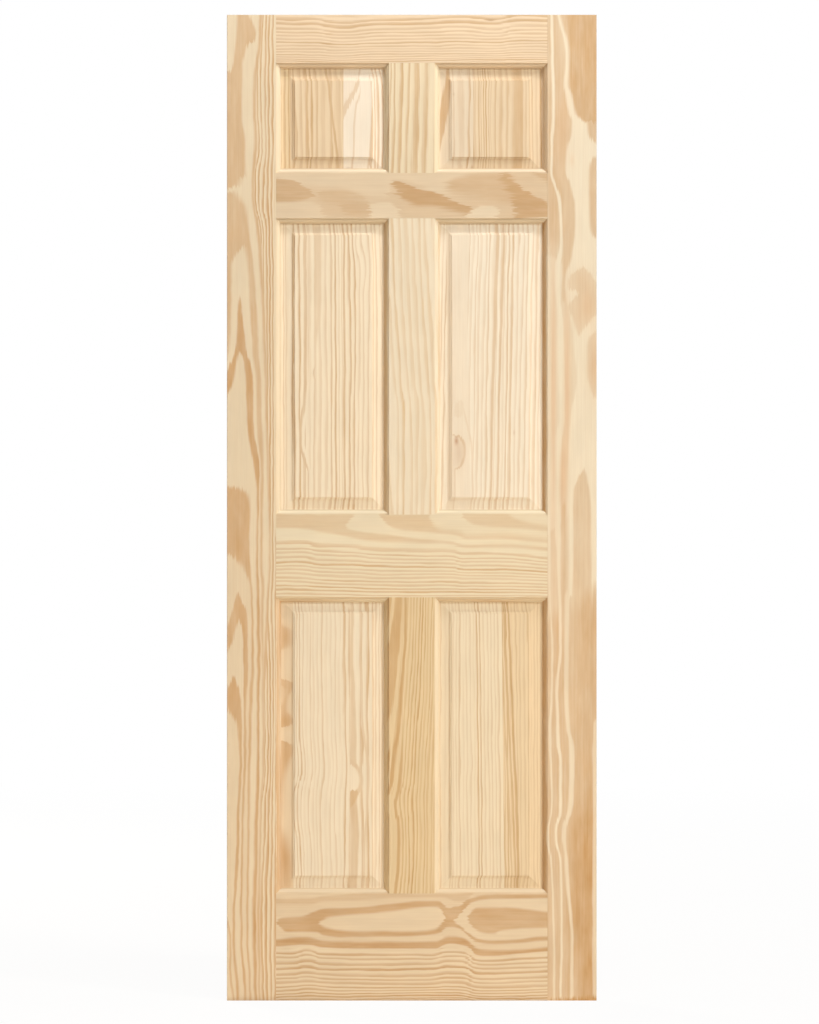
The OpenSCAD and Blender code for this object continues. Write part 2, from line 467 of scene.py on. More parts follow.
    def inside(self, patch: Patch, across: Socket, along: Socket) -> Value:
        """Weight of a patch: one between its edges, zero outside, with soft edges.

        Args:
            patch: the patch.
            across: across the fibres in mm.
            along: along the fibres in mm.

        Returns:
            Socket with the weight.
        """
        weight: Value = 1.0
        for path, soft, way in ((patch.near, patch.soft[0], 1.0), (patch.far, patch.soft[1], -1.0)):
            if path is None:
                continue
            width = self.follow(soft, along) if isinstance(soft, tuple) else soft
            past = self.math("SUBTRACT", across, self.follow(path, along))
            past = self.math("DIVIDE", past, width)
            edge = self.add("ShaderNodeMapRange", past, -0.5 * way, 0.5 * way, 0.0, 1.0,
                            interpolation_type="SMOOTHSTEP")
            weight = self.math("MULTIPLY", edge, weight)
        return weight

    def tone(self, stave: Stave, place: Socket, aside: Value) -> Socket:
        """Tone of one board's figure.

        Args:
            stave: the board.
            place: vector of across, depth and along in mm.
            aside: how far the marks push the lines aside, in mm.

        Returns:
            Socket with the tone, from 0 for spring wood to 1 for summer wood.
        """
        parts = self.add("ShaderNodeSeparateXYZ", place).node.outputs
        drawn = self.noise(place, DRAWN, stave.ragged)
        along = self.math("ADD", parts[2], drawn)
        across = self.math("MULTIPLY_ADD", parts[1], stave.lean, parts[0])
        for shift in (self.noise(place, WAVER), self.noise(place, RIPPLE, stave.ripple), aside):
            across = self.math("ADD", across, shift)
        tone: Value = stave.base
        if stave.rings:
            tone = self.lines(stave, place, across, along)
        for patch in stave.patches:
            weight = self.inside(patch, across, along)
            tone = self.add("ShaderNodeMix", weight, None, tone, patch.tone)
        if stave.side is not None:
            bare = self.math("COMPARE", parts[0], stave.side, SIDE_REACH)
            tone = self.add("ShaderNodeMix", bare, None, tone, self.noise(place, CLOSE))
        cloud = self.noise(place, CLOUD)
        pin = self.noise(place, PIN)
        return self.math("MULTIPLY_ADD", tone, cloud, pin, use_clamp=True)

    def make(self) -> bpy.types.Material:
        """Builds the material.

        Pale spring wood darkens to tan summer wood and breaks off at the next year, which
        gives the eye lines and flames with one soft and one crisp edge. Streaks along the
        fibres and a slow mottle keep flat areas alive; summer wood stands a little proud and
        shines a little more, as sanding leaves it.

        Returns:
            The finished material.
        """
        material = bpy.data.materials.new(self.name)
        self.tree = empty_tree(material)
        here = self.add("ShaderNodeTexCoord", out=3)
        leaf = self.add("ShaderNodeMapping", here, (LEAF_W / 2, LEAF_T / 2, LEAF_H), None,
                        (MM, MM, -MM))
        right, deep, below = self.add("ShaderNodeSeparateXYZ", leaf).node.outputs
        across, along = (right, below) if self.grain is Grain.UPRIGHT else (below, right)
        place = self.add("ShaderNodeCombineXYZ", across, deep, along)
        aside: Value = 0.0
        stain_and_shade: Value = 0.0
        for mark in self.marks:
            weight = self.bell(place, mark)
            aside = self.math("MULTIPLY_ADD", weight, mark.swerve, aside)
            stain_and_shade = self.math("MULTIPLY_ADD", weight, mark.stain_and_shade, stain_and_shade)
        wood: Optional[Socket] = None
        summer: Optional[Socket] = None
        for stave in self.staves:
            tone = self.tone(stave, place, aside)
            pine = self.add("ShaderNodeMixRGB", tone, linear(stave.pine.early), linear(stave.pine.late))
            if wood is None:
                wood, summer = pine, tone
                continue
            past = self.math("GREATER_THAN", across, self.follow(stave.start, along))
            wood = self.add("ShaderNodeMixRGB", past, wood, pine)
            summer = self.add("ShaderNodeMix", past, None, summer, tone)
        fibre = self.noise(place, FIBRE)
        strand = self.add("ShaderNodeMapRange", fibre, 0.0, 1.0, *self.face.strand)
        shade = self.math("MULTIPLY", strand, self.noise(place, MOTTLE))
        wood = self.add("ShaderNodeVectorMath", wood, shade, operation="MULTIPLY")
        # Marks mix in the knot colour: knot stains, and painted shade along the leaf's bottom edge.
        if self.marks:
            wood = self.add("ShaderNodeMixRGB", stain_and_shade, wood, linear(self.staves[0].pine.knot))
        height = self.math("MULTIPLY_ADD", fibre, self.face.fibre, summer)
        bump = self.add("ShaderNodeBump", self.face.relief, self.face.proud, None, height)
        rough = self.add("ShaderNodeMapRange", summer, 0.0, 1.0, *self.face.rough)
        surface = self.add("ShaderNodeBsdfPrincipled", wood, None, rough)
        surface.node.inputs["Specular IOR Level"].default_value = self.face.shine
        self.tree.links.new(bump, surface.node.inputs["Normal"])
        self.add("ShaderNodeOutputMaterial", surface)
        return material


@dataclass
class PinePiece:
    """One stile, rail, mullion or panel: a CAD node that keeps its shape and gets its own pine.

    Attributes:
        node: name of the CAD node.
        grain: which way its fibres run.
        staves: its boards, glued edge to edge.
        marks: knots and swirls, and long bands of painted shade along the bottom edge.
        seed: shifts the small patterns, so that no two pieces look alike.
    """

    node: str
    grain: Grain
    staves: tuple[Stave, ...]
    marks: tuple[Mark, ...] = ()
    seed: float = 0.0

    def dress(self) -> None:
        """Puts the piece's pine on its CAD node."""
        pine = PineTexture(f"sanded_pine_{self.node}", self.grain, self.staves, self.marks, self.seed)
        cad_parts[self.node].material_slots[0].material = pine.make()
        log.info("%s dressed in %d staves", self.node, len(self.staves))


@dataclass
class Stiles:
    """The two upright edge boards, flat sawn with long flames."""

    left_pine: Pine = Pine("EEDDC1", "D1A575")
    right_pine: Pine = Pine("F2E4CC", "CA9D69", "DE9E5C")

    def left(self) -> PinePiece:
        """Left stile: five flames open downwards from the outer edge, close lines at the inner edge.

        Returns:
            The piece.
        """
        lines = Rings(
            ((0, 66), (100, 61), (200, 60), (250, 63), (300, 60), (360, 54), (420, 63), (500, 68),
             (940, 68), (1060, 64), (1130, 66), (1240, 60), (1300, 65), (1400, 70), (1500, 72),
             (1620, 63), (1740, 56), (1860, 50), (1980, 53), (2032, 54)), ((0, 104),),
            (0.12, 0.26, 0.46, 0.63, 0.81, 0.97))
        outer_line = (
            (0, 73), (60, 70), (100, 65), (140, 61), (200, 60), (250, 63), (300, 60), (360, 56),
            (420, 64), (500, 73), (640, 79), (850, 84), (1000, 88), (1100, 90), (1200, 87), (1300, 82),
            (1400, 76), (1450, 68))
        outer_pale = (
            (0, 67), (60, 64), (100, 58), (140, 55), (200, 54), (250, 57), (300, 54), (360, 51),
            (420, 58), (500, 67), (640, 74), (850, 80), (1000, 85), (1100, 87), (1200, 83), (1300, 77),
            (1400, 70), (1450, 62))
        top_far = (
            (0, 45), (20, 54), (40, 59), (55, 57), (62, 44), (80, 36), (110, 31), (200, 31), (260, 37),
            (330, 38), (338, 28), (350, 24), (360, -20))
        top_near = ((0, 22), (50, 19), (80, 16), (100, 13), (115, 6), (140, -20), (360, -20))
        second_far = (
            (360, -20), (368, 16), (385, 30), (400, 38), (460, 46), (520, 55), (620, 62), (700, 66),
            (760, 70), (850, 72), (940, 76), (1060, 74), (1130, 75), (1190, 77), (1240, 75), (1400, 76),
            (1500, 78), (1620, 73), (1740, 70), (1860, 66), (1980, 68), (2032, 69))
        second_pale = (
            (474, 24), (482, 36), (520, 42), (620, 48), (700, 55), (760, 60), (850, 62), (940, 69),
            (1060, 68), (1130, 69), (1190, 71), (1240, 70), (1400, 72), (1500, 74), (1620, 69),
            (1740, 66), (1860, 62), (1980, 64), (2032, 65))
        second_pale_near = (
            (474, 34), (482, 28), (500, 17), (520, 10), (620, 8), (700, 3), (730, -20), (2032, -20))
        third_far = (
            (572, 24), (582, 29), (640, 34), (690, 40), (720, 50), (760, 53), (850, 55), (940, 66),
            (1000, 66), (1060, 64), (1190, 67), (1300, 68), (1400, 66), (1500, 67), (1620, 65),
            (1740, 63), (1860, 60), (1980, 61), (2032, 62))
        third_near = ((572, 32), (582, 27), (640, 22), (690, 17), (720, 7), (745, -4), (760, -20))
        third_pale = (
            (690, 22), (700, 28), (720, 35), (760, 39), (850, 43), (940, 55), (1000, 61), (1190, 61),
            (1300, 62), (1400, 61), (1500, 62), (1620, 58), (1740, 56), (1860, 53), (1980, 55),
            (2032, 56))
        third_pale_near = ((690, 32), (700, 24), (720, 18), (760, 12), (790, -4), (800, -20))
        fourth_far = (
            (968, -20), (978, 24), (990, 42), (1010, 46), (1110, 47), (1150, 50), (1250, 54), (1340, 55),
            (1400, 52), (1500, 49), (1740, 46), (1900, 44), (1980, 48), (2032, 50))
        fourth_pale = (
            (1108, -20), (1116, 10), (1126, 26), (1150, 38), (1180, 48), (1340, 50), (1400, 46),
            (1500, 44), (1740, 42), (1900, 40), (1980, 44), (2032, 46))
        fifth_far = (
            (1184, 20), (1192, 25), (1210, 31), (1240, 40), (1300, 42), (1360, 43), (1450, 39),
            (1500, 40), (1640, 35), (1840, 32), (1900, 32), (1980, 37), (2032, 40))
        fifth_near = ((1184, 28), (1192, 23), (1210, 17), (1240, 8), (1270, 1), (1300, -6), (1320, -20))
        fifth_pale = (
            (1240, 22), (1250, 26), (1270, 31), (1300, 33), (1360, 35), (1500, 35), (1640, 31),
            (1840, 28), (1900, 28), (1980, 32), (2032, 35))
        fifth_pale_near = ((1240, 30), (1250, 24), (1270, 18), (1300, 9), (1322, -4), (1335, -20))
        sixth_far = (
            (1354, 12), (1364, 17), (1380, 22), (1400, 27), (1440, 30), (1540, 31), (1640, 26),
            (1740, 24), (1840, 18), (1900, 17), (1980, 22), (2032, 24))
        sixth_near = ((1354, 20), (1364, 14), (1380, 6), (1400, -4), (1415, -20))
        sixth_pale = (
            (1424, -20), (1436, 4), (1450, 15), (1480, 23), (1540, 26), (1640, 21), (1740, 18),
            (1840, 13), (1900, 12), (1980, 17), (2032, 19))
        seventh_far = ((1850, -6), (1900, 9), (1980, 10), (2032, 15))
        seventh_near = ((1850, -9), (1900, 5), (1980, 6), (2032, 11))
        patches = (
            Patch(0.65, outer_line, soft=(5, 5)), Patch(0.08, outer_pale, soft=(6, 6)),
            Patch(0.6, top_far, top_near, (6, ((0, 6), (300, 6), (340, 22)))),
            Patch(0.58, second_far, soft=(6, ((360, 30), (400, 14), (460, 5)))),
            Patch(0.08, second_pale, second_pale_near, (8, ((474, 20), (520, 8), (700, 6)))),
            Patch(0.84, third_far, third_near, (5, 4)), Patch(0.1, third_pale, third_pale_near, (7, 6)),
            Patch(0.74, fourth_far, soft=(5, ((968, 34), (1000, 12), (1060, 5)))),
            Patch(0.2, fourth_pale, soft=(6, ((1108, 26), (1150, 10), (1200, 4)))),
            Patch(0.76, fifth_far, fifth_near, (5, 4)), Patch(0.15, fifth_pale, fifth_pale_near, (6, 4)),
            Patch(0.8, sixth_far, sixth_near, (6, 4)),
            Patch(0.18, sixth_pale, soft=(5, ((1424, 20), (1460, 8), (1540, 4)))),
            Patch(0.6, seventh_far, seventh_near, (3, 3)),
            # Painted highlight: the inner sticking, which faces the light, is kept pale down to the lock
            # rail.
            Patch(0.06, None, ((0, 99), (1050, 99), (1150, 120), (2032, 120))))
        board = Stave(
            self.left_pine, lines, patches, even=0.85, wander=0.2, thin=(0.6, 1.0), ripple=1.3, side=0.0)
        # Painted shade: a band along the bottom edge, darker towards the floor.
        painted_foot_shade = Mark(2036, 52, 9, 3000, stain_and_shade=0.4)
        return PinePiece("left_stile", Grain.UPRIGHT, (board,), (painted_foot_shade,), seed=1.0)

    def right(self) -> PinePiece:
        """Right stile: a broad tan face broken by pale islands, with wandering pale streaks inside.

        Returns:
            The piece.
        """
        inner_near = (
            (0, 667), (120, 668), (200, 671), (260, 667), (310, 667), (350, 674), (400, 684), (450, 686),
            (500, 680), (540, 675), (580, 679), (620, 682), (760, 682), (800, 685), (850, 681),
            (900, 675), (960, 676), (1040, 676), (1120, 680), (1300, 684), (1400, 677), (1500, 678),
            (1540, 684), (1640, 684), (1660, 680), (1690, 676), (1720, 680), (1800, 688), (2032, 686))
        inner_far = (
            (0, 672), (120, 674), (200, 677), (260, 673), (310, 672), (350, 680), (400, 690), (450, 692),
            (500, 690), (540, 685), (580, 687), (620, 692), (700, 695), (800, 696), (850, 692),
            (900, 687), (960, 685), (1040, 687), (1120, 688), (1300, 690), (1400, 683), (1500, 685),
            (1540, 690), (1640, 690), (1660, 686), (1690, 680), (1720, 685), (1800, 692), (2032, 691))
        edge_near = (
            (580, 662), (640, 654), (1000, 654), (1100, 662), (1200, 663), (1300, 668), (1400, 667),
            (1480, 663), (1600, 668), (1660, 664), (1690, 660), (1740, 666), (1900, 672), (2032, 673))
        edge_far = (
            (580, 662), (640, 665), (700, 667), (800, 669), (860, 666), (1000, 665), (1100, 667),
            (1200, 666), (1300, 672), (1400, 671), (1480, 668), (1600, 672), (1660, 667), (1690, 664),
            (1740, 670), (1900, 676), (2032, 677))
        foot_left = (
            (1400, 696), (1470, 700), (1540, 706), (1630, 703), (1660, 697), (1690, 690), (1710, 692),
            (1740, 696), (1800, 700), (1860, 706), (1920, 710), (2032, 708))
        foot_right = (
            (1400, 704), (1470, 707), (1500, 713), (1540, 716), (1600, 715), (1640, 711), (1665, 702),
            (1690, 697), (1740, 702), (1800, 706), (1860, 712), (1920, 715), (2032, 715))
        wave_near = (
            (0, 682), (30, 688), (60, 695), (100, 697), (140, 694), (160, 698), (210, 706), (220, 711),
            (245, 710), (262, 704), (290, 699), (322, 698), (340, 705), (370, 711), (400, 716),
            (440, 716), (480, 712), (505, 709), (520, 704), (550, 697), (575, 700), (640, 710),
            (660, 714), (700, 716), (740, 720), (785, 717), (800, 712), (840, 707), (900, 704),
            (1040, 704), (1200, 703), (1220, 698)) + foot_left
        wave_far = (
            (0, 687), (30, 693), (60, 702), (100, 704), (140, 703), (160, 709), (180, 713), (200, 716),
            (214, 726), (224, 743), (245, 745), (262, 757), (280, 768), (294, 757), (330, 747),
            (430, 748), (460, 760), (480, 770), (636, 770), (655, 752), (690, 742), (730, 742),
            (765, 748), (790, 760), (805, 770), (2032, 770))
        tail_near = ((1180, 712), (1206, 696)) + foot_left
        tail_far = ((1180, 706), (1206, 704)) + foot_right
        band_near = (
            (0, 677), (140, 677), (200, 681), (240, 684), (300, 677), (340, 688), (400, 693), (500, 692),
            (600, 690), (640, 694), (700, 697), (800, 700), (850, 693), (900, 690), (1100, 690),
            (1300, 690), (1400, 684), (1500, 690), (1640, 690), (1690, 682), (1740, 690), (1800, 694),
            (2032, 694))
        band_far = (
            (0, 688), (60, 694), (140, 692), (200, 703), (240, 710), (300, 698), (340, 706), (400, 713),
            (440, 714), (500, 709), (560, 698), (640, 706), (700, 711), (800, 712), (850, 705),
            (900, 702), (1100, 699), (1300, 696), (1400, 695), (1500, 699), (1640, 700), (1690, 690),
            (1740, 696), (1800, 699), (2032, 702))
        island_near = (
            (518, 734), (528, 720), (540, 706), (555, 702), (566, 705), (574, 724), (580, 719),
            (592, 707), (602, 704), (615, 709), (630, 714), (650, 720), (668, 728))
        island_far = (
            (518, 726), (528, 744), (545, 758), (560, 770), (612, 770), (625, 752), (640, 740),
            (655, 729), (668, 720))
        main_near = (
            (926, 740), (938, 733), (960, 722), (1000, 714), (1120, 713), (1195, 711),
            (1206, 705)) + foot_right
        main_far = (
            (926, 730), (938, 737), (960, 742), (1000, 748), (1040, 750), (1200, 752), (1230, 760),
            (1240, 770), (1430, 770), (1445, 762), (1470, 752), (1600, 756), (1640, 752), (1700, 752),
            (1760, 758), (1800, 756), (1850, 748), (2032, 752))
        patches = (
            Patch(0.55, None, ((0, 620), (420, 620), (560, 860), (1120, 860), (1300, 620), (2032, 620)),
                  (120, 4)),
            Patch(0.12, ((480, 640), (580, 715), (980, 715), (1080, 640)), None, (4, 20)),
            Patch(0.5, band_far, band_near, (7, 7)),
            Patch(0.22, ((560, 640), (640, 715), (960, 715), (1040, 640)), ((560, 690),), (12, 20)),
            Patch(0.74, None, ((0, 700), (60, 706), (140, 708), (200, 720), (214, 732), (226, 790)),
                  (6, 4)),
            Patch(0.02, inner_far, inner_near), Patch(0.12, edge_far, edge_near),
            Patch(0.05, wave_far, wave_near, (6, 9)),
            Patch(0.05, ((780, 690), (830, 770), (1040, 770), (1100, 700)),
                  ((780, 720), (860, 707), (1000, 706), (1100, 730)), (8, 12)),
            Patch(0.32, island_far, island_near, (7, 7)), Patch(0.44, main_far, main_near, (5, 7)),
            Patch(0.66, None, ((1120, 860), (1290, 712), (2032, 712)), (60, 4)),
            Patch(0.88, None, ((1500, 860), (1720, 712), (1860, 712), (1960, 732), (2032, 740)),
                  (60, 4)),
            Patch(0.28, None, ((1440, 775), (1460, 756), (1540, 753), (2032, 753))),
            Patch(0.16, tail_far, tail_near, (5, 5)),
            # Painted shade: the inner sticking, which faces away from the light, is darkened from the
            # frieze rail down.
            Patch(0.8, ((380, 640), (420, 660), (2032, 660)), None, (4, 3)),
            # Painted shade: darker towards the bottom edge.
            Patch(1.0, None, ((2012, 900), (2034, 640)), (140, 4)))
        glow = (
            Mark(300, 711, 14, 5, stain_and_shade=0.14), Mark(240, 692, 80, 16, stain_and_shade=0.18),
            Mark(1250, 684, 260, 18, stain_and_shade=0.12), Mark(760, 673, 300, 6.5, stain_and_shade=0.34),
            Mark(760, 701, 170, 7, stain_and_shade=0.32), Mark(955, 693, 80, 7, stain_and_shade=0.3),
            Mark(600, 742, 36, 18, stain_and_shade=0.24), Mark(548, 730, 24, 22, stain_and_shade=0.1),
            Mark(630, 722, 22, 11, stain_and_shade=0.08), Mark(722, 757, 58, 13, stain_and_shade=0.26))
        board = Stave(self.right_pine, None, patches, base=0.3, ragged=14.0, side=LEAF_W)
        return PinePiece("right_stile", Grain.UPRIGHT, (board,), glow, seed=2.0)

    def dress(self) -> None:
        """Dresses both stiles."""
        self.left().dress()
        self.right().dress()


@dataclass
class Rails:
    """The four level boards."""

    top_pine: Pine = Pine("F0D9BC", "D0AC82")
    frieze_pine: Pine = Pine("EAD7BB", "CDA87F")
    lock_pine: Pine = Pine("EFE0C4", "D6B083")
    bottom_pine: Pine = Pine("EAD7BA", "CAA174")

    def top(self) -> PinePiece:
        """Top rail: close waving lines that tighten downwards, and a small eye near the top edge.

        Returns:
            The piece.
        """
        lines = Rings(
            ((100, 0), (170, 0), (205, 5), (240, 9), (280, 5), (320, 2), (380, 2), (430, 0), (480, -4),
             (520, -1), (552, 1), (585, -5), (620, -7), (662, -6)),
            ((100, 104), (240, 106), (480, 103), (662, 102)),
            (0.115, 0.21, 0.3, 0.365, 0.43, 0.5, 0.567, 0.63, 0.69, 0.745, 0.793, 0.837, 0.88, 0.923,
             0.96))
        board = Stave(
            # Painted light: the lower sticking, which faces down into shade, is kept pale to lift that
            # shade.
            self.top_pine, lines, (Patch(0.0, None, ((100, 98),)),), even=0.5, wander=0.2,
            thin=(0.5, 0.9), side=0.0)
        return PinePiece("top_rail", Grain.LEVEL, (board,), (Mark(543, 10, 9, 4, -3.0, 0.28),), seed=3.0)

    def frieze(self) -> PinePiece:
        """Frieze rail: broad blotches that drop to the right, with ragged upper right edges.

        Returns:
            The piece.
        """
        patches = (
            Patch(0.2, ((100, 440),), ((100, 380), (190, 392), (200, 440)), (10, 4)),
            Patch(0.2,
                  ((100, 334), (150, 350), (230, 356), (330, 376), (345, 340), (400, 352), (470, 372),
                   (500, 366), (560, 340), (580, 320)),
                  None, (4, 14)),
            Patch(0.8, ((92, 386), (140, 385), (160, 382), (172, 379), (182, 366)),
                  ((92, 337), (140, 342), (155, 352), (172, 366), (182, 380)), (4, 10)),
            Patch(0.62, ((180, 372), (200, 384), (230, 394), (250, 414), (292, 426), (300, 380)),
                  ((180, 378), (200, 363), (240, 363), (265, 369), (285, 379), (300, 400)), (8, 16)),
            Patch(0.1, ((292, 380), (300, 424), (345, 424), (360, 396)),
                  ((292, 420), (300, 392), (325, 386), (345, 392), (360, 410)), (6, 14)),
            Patch(0.98,
                  ((338, 336), (350, 362), (375, 388), (400, 394), (425, 394), (450, 400), (480, 408),
                   (505, 413), (516, 398)),
                  ((338, 346), (350, 342), (380, 352), (400, 360), (430, 367), (460, 382), (480, 389),
                   (500, 398), (516, 412)), (4, 16)),
            Patch(0.65, ((440, 340), (480, 372), (560, 384), (662, 398)),
                  ((440, 352), (480, 336), (540, 324), (575, 326), (600, 350), (630, 372), (662, 390)),
                  (14, 26)),
            Patch(0.95, ((560, 330), (590, 384), (600, 430), (670, 430)),
                  ((560, 348), (572, 326), (585, 340), (600, 350), (630, 372), (645, 380), (670, 394)),
                  (4, 40)),
            Patch(0.05, ((492, 400), (505, 424), (548, 424), (562, 404)),
                  ((492, 414), (506, 402), (525, 394), (545, 394), (562, 416)), (5, 8)),
            Patch(0.75, ((618, 322), (640, 334), (670, 350)), None, (4, 14)),
            # Painted light: both stickings are kept pale, the upper one as a highlight where it faces
            # the light, the lower one lifting the shade where it faces down.
            Patch(0.0, ((100, 326),), None, (4, 3)), Patch(0.0, None, ((100, 419),), (3, 4)))
        board = Stave(self.frieze_pine, None, patches, base=0.42, ragged=24.0, lean=0.3)
        return PinePiece("frieze_rail", Grain.LEVEL, (board,), seed=4.0)

    def lock(self) -> PinePiece:
        """Lock rail: flat tan patches along the top edge, quiet lines below.

        Returns:
            The piece.
        """
        lines = Rings(
            ((100, 1078), (150, 1076), (185, 1082), (260, 1087), (300, 1091), (380, 1095), (465, 1097),
             (490, 1103), (560, 1102), (620, 1106), (662, 1110)), ((100, 1206), (662, 1208)),
            (0.13, 0.2, 0.27, 0.345, 0.415, 0.477, 0.546, 0.615, 0.677, 0.738, 0.8, 0.862, 0.923, 0.985))
        first_low = (
            (100, 1057), (150, 1059), (200, 1067), (240, 1074), (300, 1084), (380, 1088), (465, 1092),
            (490, 1098), (560, 1097), (662, 1104))
        first_pale = (
            (240, 1040), (248, 1058), (262, 1063), (300, 1069), (340, 1073), (380, 1079), (465, 1086),
            (490, 1092), (560, 1090), (662, 1097))
        second_low = (
            (304, 1010), (318, 1036), (332, 1051), (348, 1059), (400, 1065), (470, 1072), (500, 1080),
            (560, 1079), (620, 1084), (662, 1088))
        second_pale = (
            (410, 1020), (440, 1060), (480, 1065), (500, 1072), (560, 1070), (620, 1075), (662, 1080))
        third_low = ((480, 1020), (490, 1038), (505, 1048), (530, 1054), (600, 1058), (662, 1064))
        third_pale = ((560, 1010), (590, 1036), (620, 1046), (662, 1054))
        patches = (
            Patch(0.0, ((100, 1080), (185, 1084), (300, 1092), (465, 1098), (490, 1104), (662, 1111)),
                  None, (4, 5)),
            Patch(0.47, first_low, None, (4, 8)),
            Patch(0.05, first_pale, ((236, 1062), (262, 1032), (290, 1005)), (10, 7)),
            Patch(0.48, second_low, None, (4, 8)), Patch(0.08, second_pale, None, (4, 20)),
            Patch(0.43, third_low, None, (4, 8)), Patch(0.1, third_pale, None, (4, 12)),
            # Painted highlight: the upper sticking, which faces up into the light, is kept pale.
            Patch(0.0, ((100, 1030),), None, (4, 3)))
        board = Stave(
            self.lock_pine, lines, patches, ragged=10.0, even=0.5, wander=0.25, thin=(0.5, 1.0))
        return PinePiece("lock_rail", Grain.LEVEL, (board,), seed=5.0)

    def bottom(self) -> PinePiece:
        """Bottom rail: a long pale eye in a tan ring, a tan oval beside it, crowded lines below.

        Returns:
            The piece.
        """
        lines = Rings(
            ((100, 1926), (140, 1925), (165, 1919), (192, 1926), (240, 1928), (420, 1930), (458, 1922),
             (480, 1922), (500, 1930), (530, 1942), (575, 1940), (662, 1935)),
            ((100, 2034), (165, 2032), (240, 2034), (465, 2031), (530, 2037), (662, 2035)),
            (0.113, 0.19, 0.3, 0.405, 0.52, 0.594, 0.69, 0.755, 0.82, 0.877, 0.934, 0.98))
        pale_low = (
            (100, 1926), (165, 1920), (240, 1929), (420, 1930), (458, 1920), (480, 1922), (530, 1943),
            (575, 1940), (662, 1935))
        band_low = (
            (100, 1920), (160, 1917), (200, 1922), (300, 1925), (430, 1924), (460, 1914), (480, 1916),
            (500, 1922), (530, 1938), (580, 1936), (662, 1930))
        band_pale = (
            (100, 1905), (160, 1901), (200, 1908), (300, 1912), (430, 1909), (460, 1899), (480, 1901),
            (500, 1910), (530, 1926), (580, 1927), (662, 1921))
        ring_low = (
            (98, 1868), (114, 1884), (130, 1890), (180, 1890), (200, 1896), (250, 1901), (350, 1900),
            (430, 1894), (448, 1885), (460, 1880), (475, 1882), (500, 1900), (520, 1911), (545, 1914),
            (662, 1907))
        ring_top = (
            (98, 1878), (114, 1862), (150, 1859), (180, 1850), (200, 1844), (250, 1841), (300, 1837),
            (350, 1831), (400, 1827), (430, 1827), (446, 1834), (460, 1842), (480, 1836), (500, 1822),
            (540, 1814), (662, 1812))
        eye_low = (
            (184, 1866), (196, 1878), (215, 1884), (250, 1888), (350, 1889), (425, 1886), (440, 1878),
            (452, 1862))
        eye_top = (
            (184, 1878), (196, 1868), (215, 1861), (250, 1857), (300, 1852), (350, 1846), (400, 1840),
            (430, 1839), (442, 1846), (452, 1868))
        gap_low = ((462, 1866), (475, 1874), (500, 1893), (520, 1904), (545, 1907), (662, 1899))
        gap_top = ((462, 1874), (475, 1860), (490, 1843), (505, 1830), (540, 1822), (662, 1821))
        oval_low = (
            (492, 1856), (500, 1872), (512, 1884), (528, 1892), (548, 1894), (565, 1888), (600, 1884),
            (662, 1882))
        oval_top = ((492, 1868), (500, 1854), (508, 1846), (522, 1841), (560, 1841), (662, 1850))
        crown_low = (
            (100, 1834), (160, 1836), (200, 1829), (300, 1823), (400, 1819), (450, 1820), (480, 1828),
            (500, 1818), (540, 1800), (662, 1800))
        crown_top = ((100, 1822), (160, 1822), (200, 1816), (300, 1808), (662, 1800))
        patches = (
            Patch(0.12, pale_low, soft=(4, 5)), Patch(0.85, band_low),
            Patch(0.18, band_pale, soft=(4, 8)), Patch(0.45, crown_low, crown_top, (6, 8)),
            Patch(0.8, ring_low, ring_top, (6, 6)), Patch(0.1, eye_low, eye_top, (9, 9)),
            Patch(0.12, gap_low, gap_top, (6, 6)), Patch(0.72, oval_low, oval_top, (8, 8)),
            Patch(0.7, ((440, 1836), (460, 1860), (475, 1858), (486, 1838)),
                  ((440, 1840), (455, 1842), (470, 1838), (486, 1842)), (5, 9)),
            # Painted highlight: the upper sticking, which faces up into the light, is kept pale.
            Patch(0.05, ((100, 1811),), None, (4, 3)))
        board = Stave(
            self.bottom_pine, lines, patches, lean=0.3, ragged=8.0, even=0.6, wander=0.15,
            thin=(0.5, 1.0))
        # Painted shade: a band along the bottom edge, darker towards the floor.
        painted_foot_shade = Mark(381, 2036, 3000, 9, stain_and_shade=0.4)
        return PinePiece("bottom_rail", Grain.LEVEL, (board,), (painted_foot_shade,), seed=6.0)

    def dress(self) -> None:
        """Dresses the four rails."""
        self.top().dress()
        self.frieze().dress()
        self.lock().dress()
        self.bottom().dress()


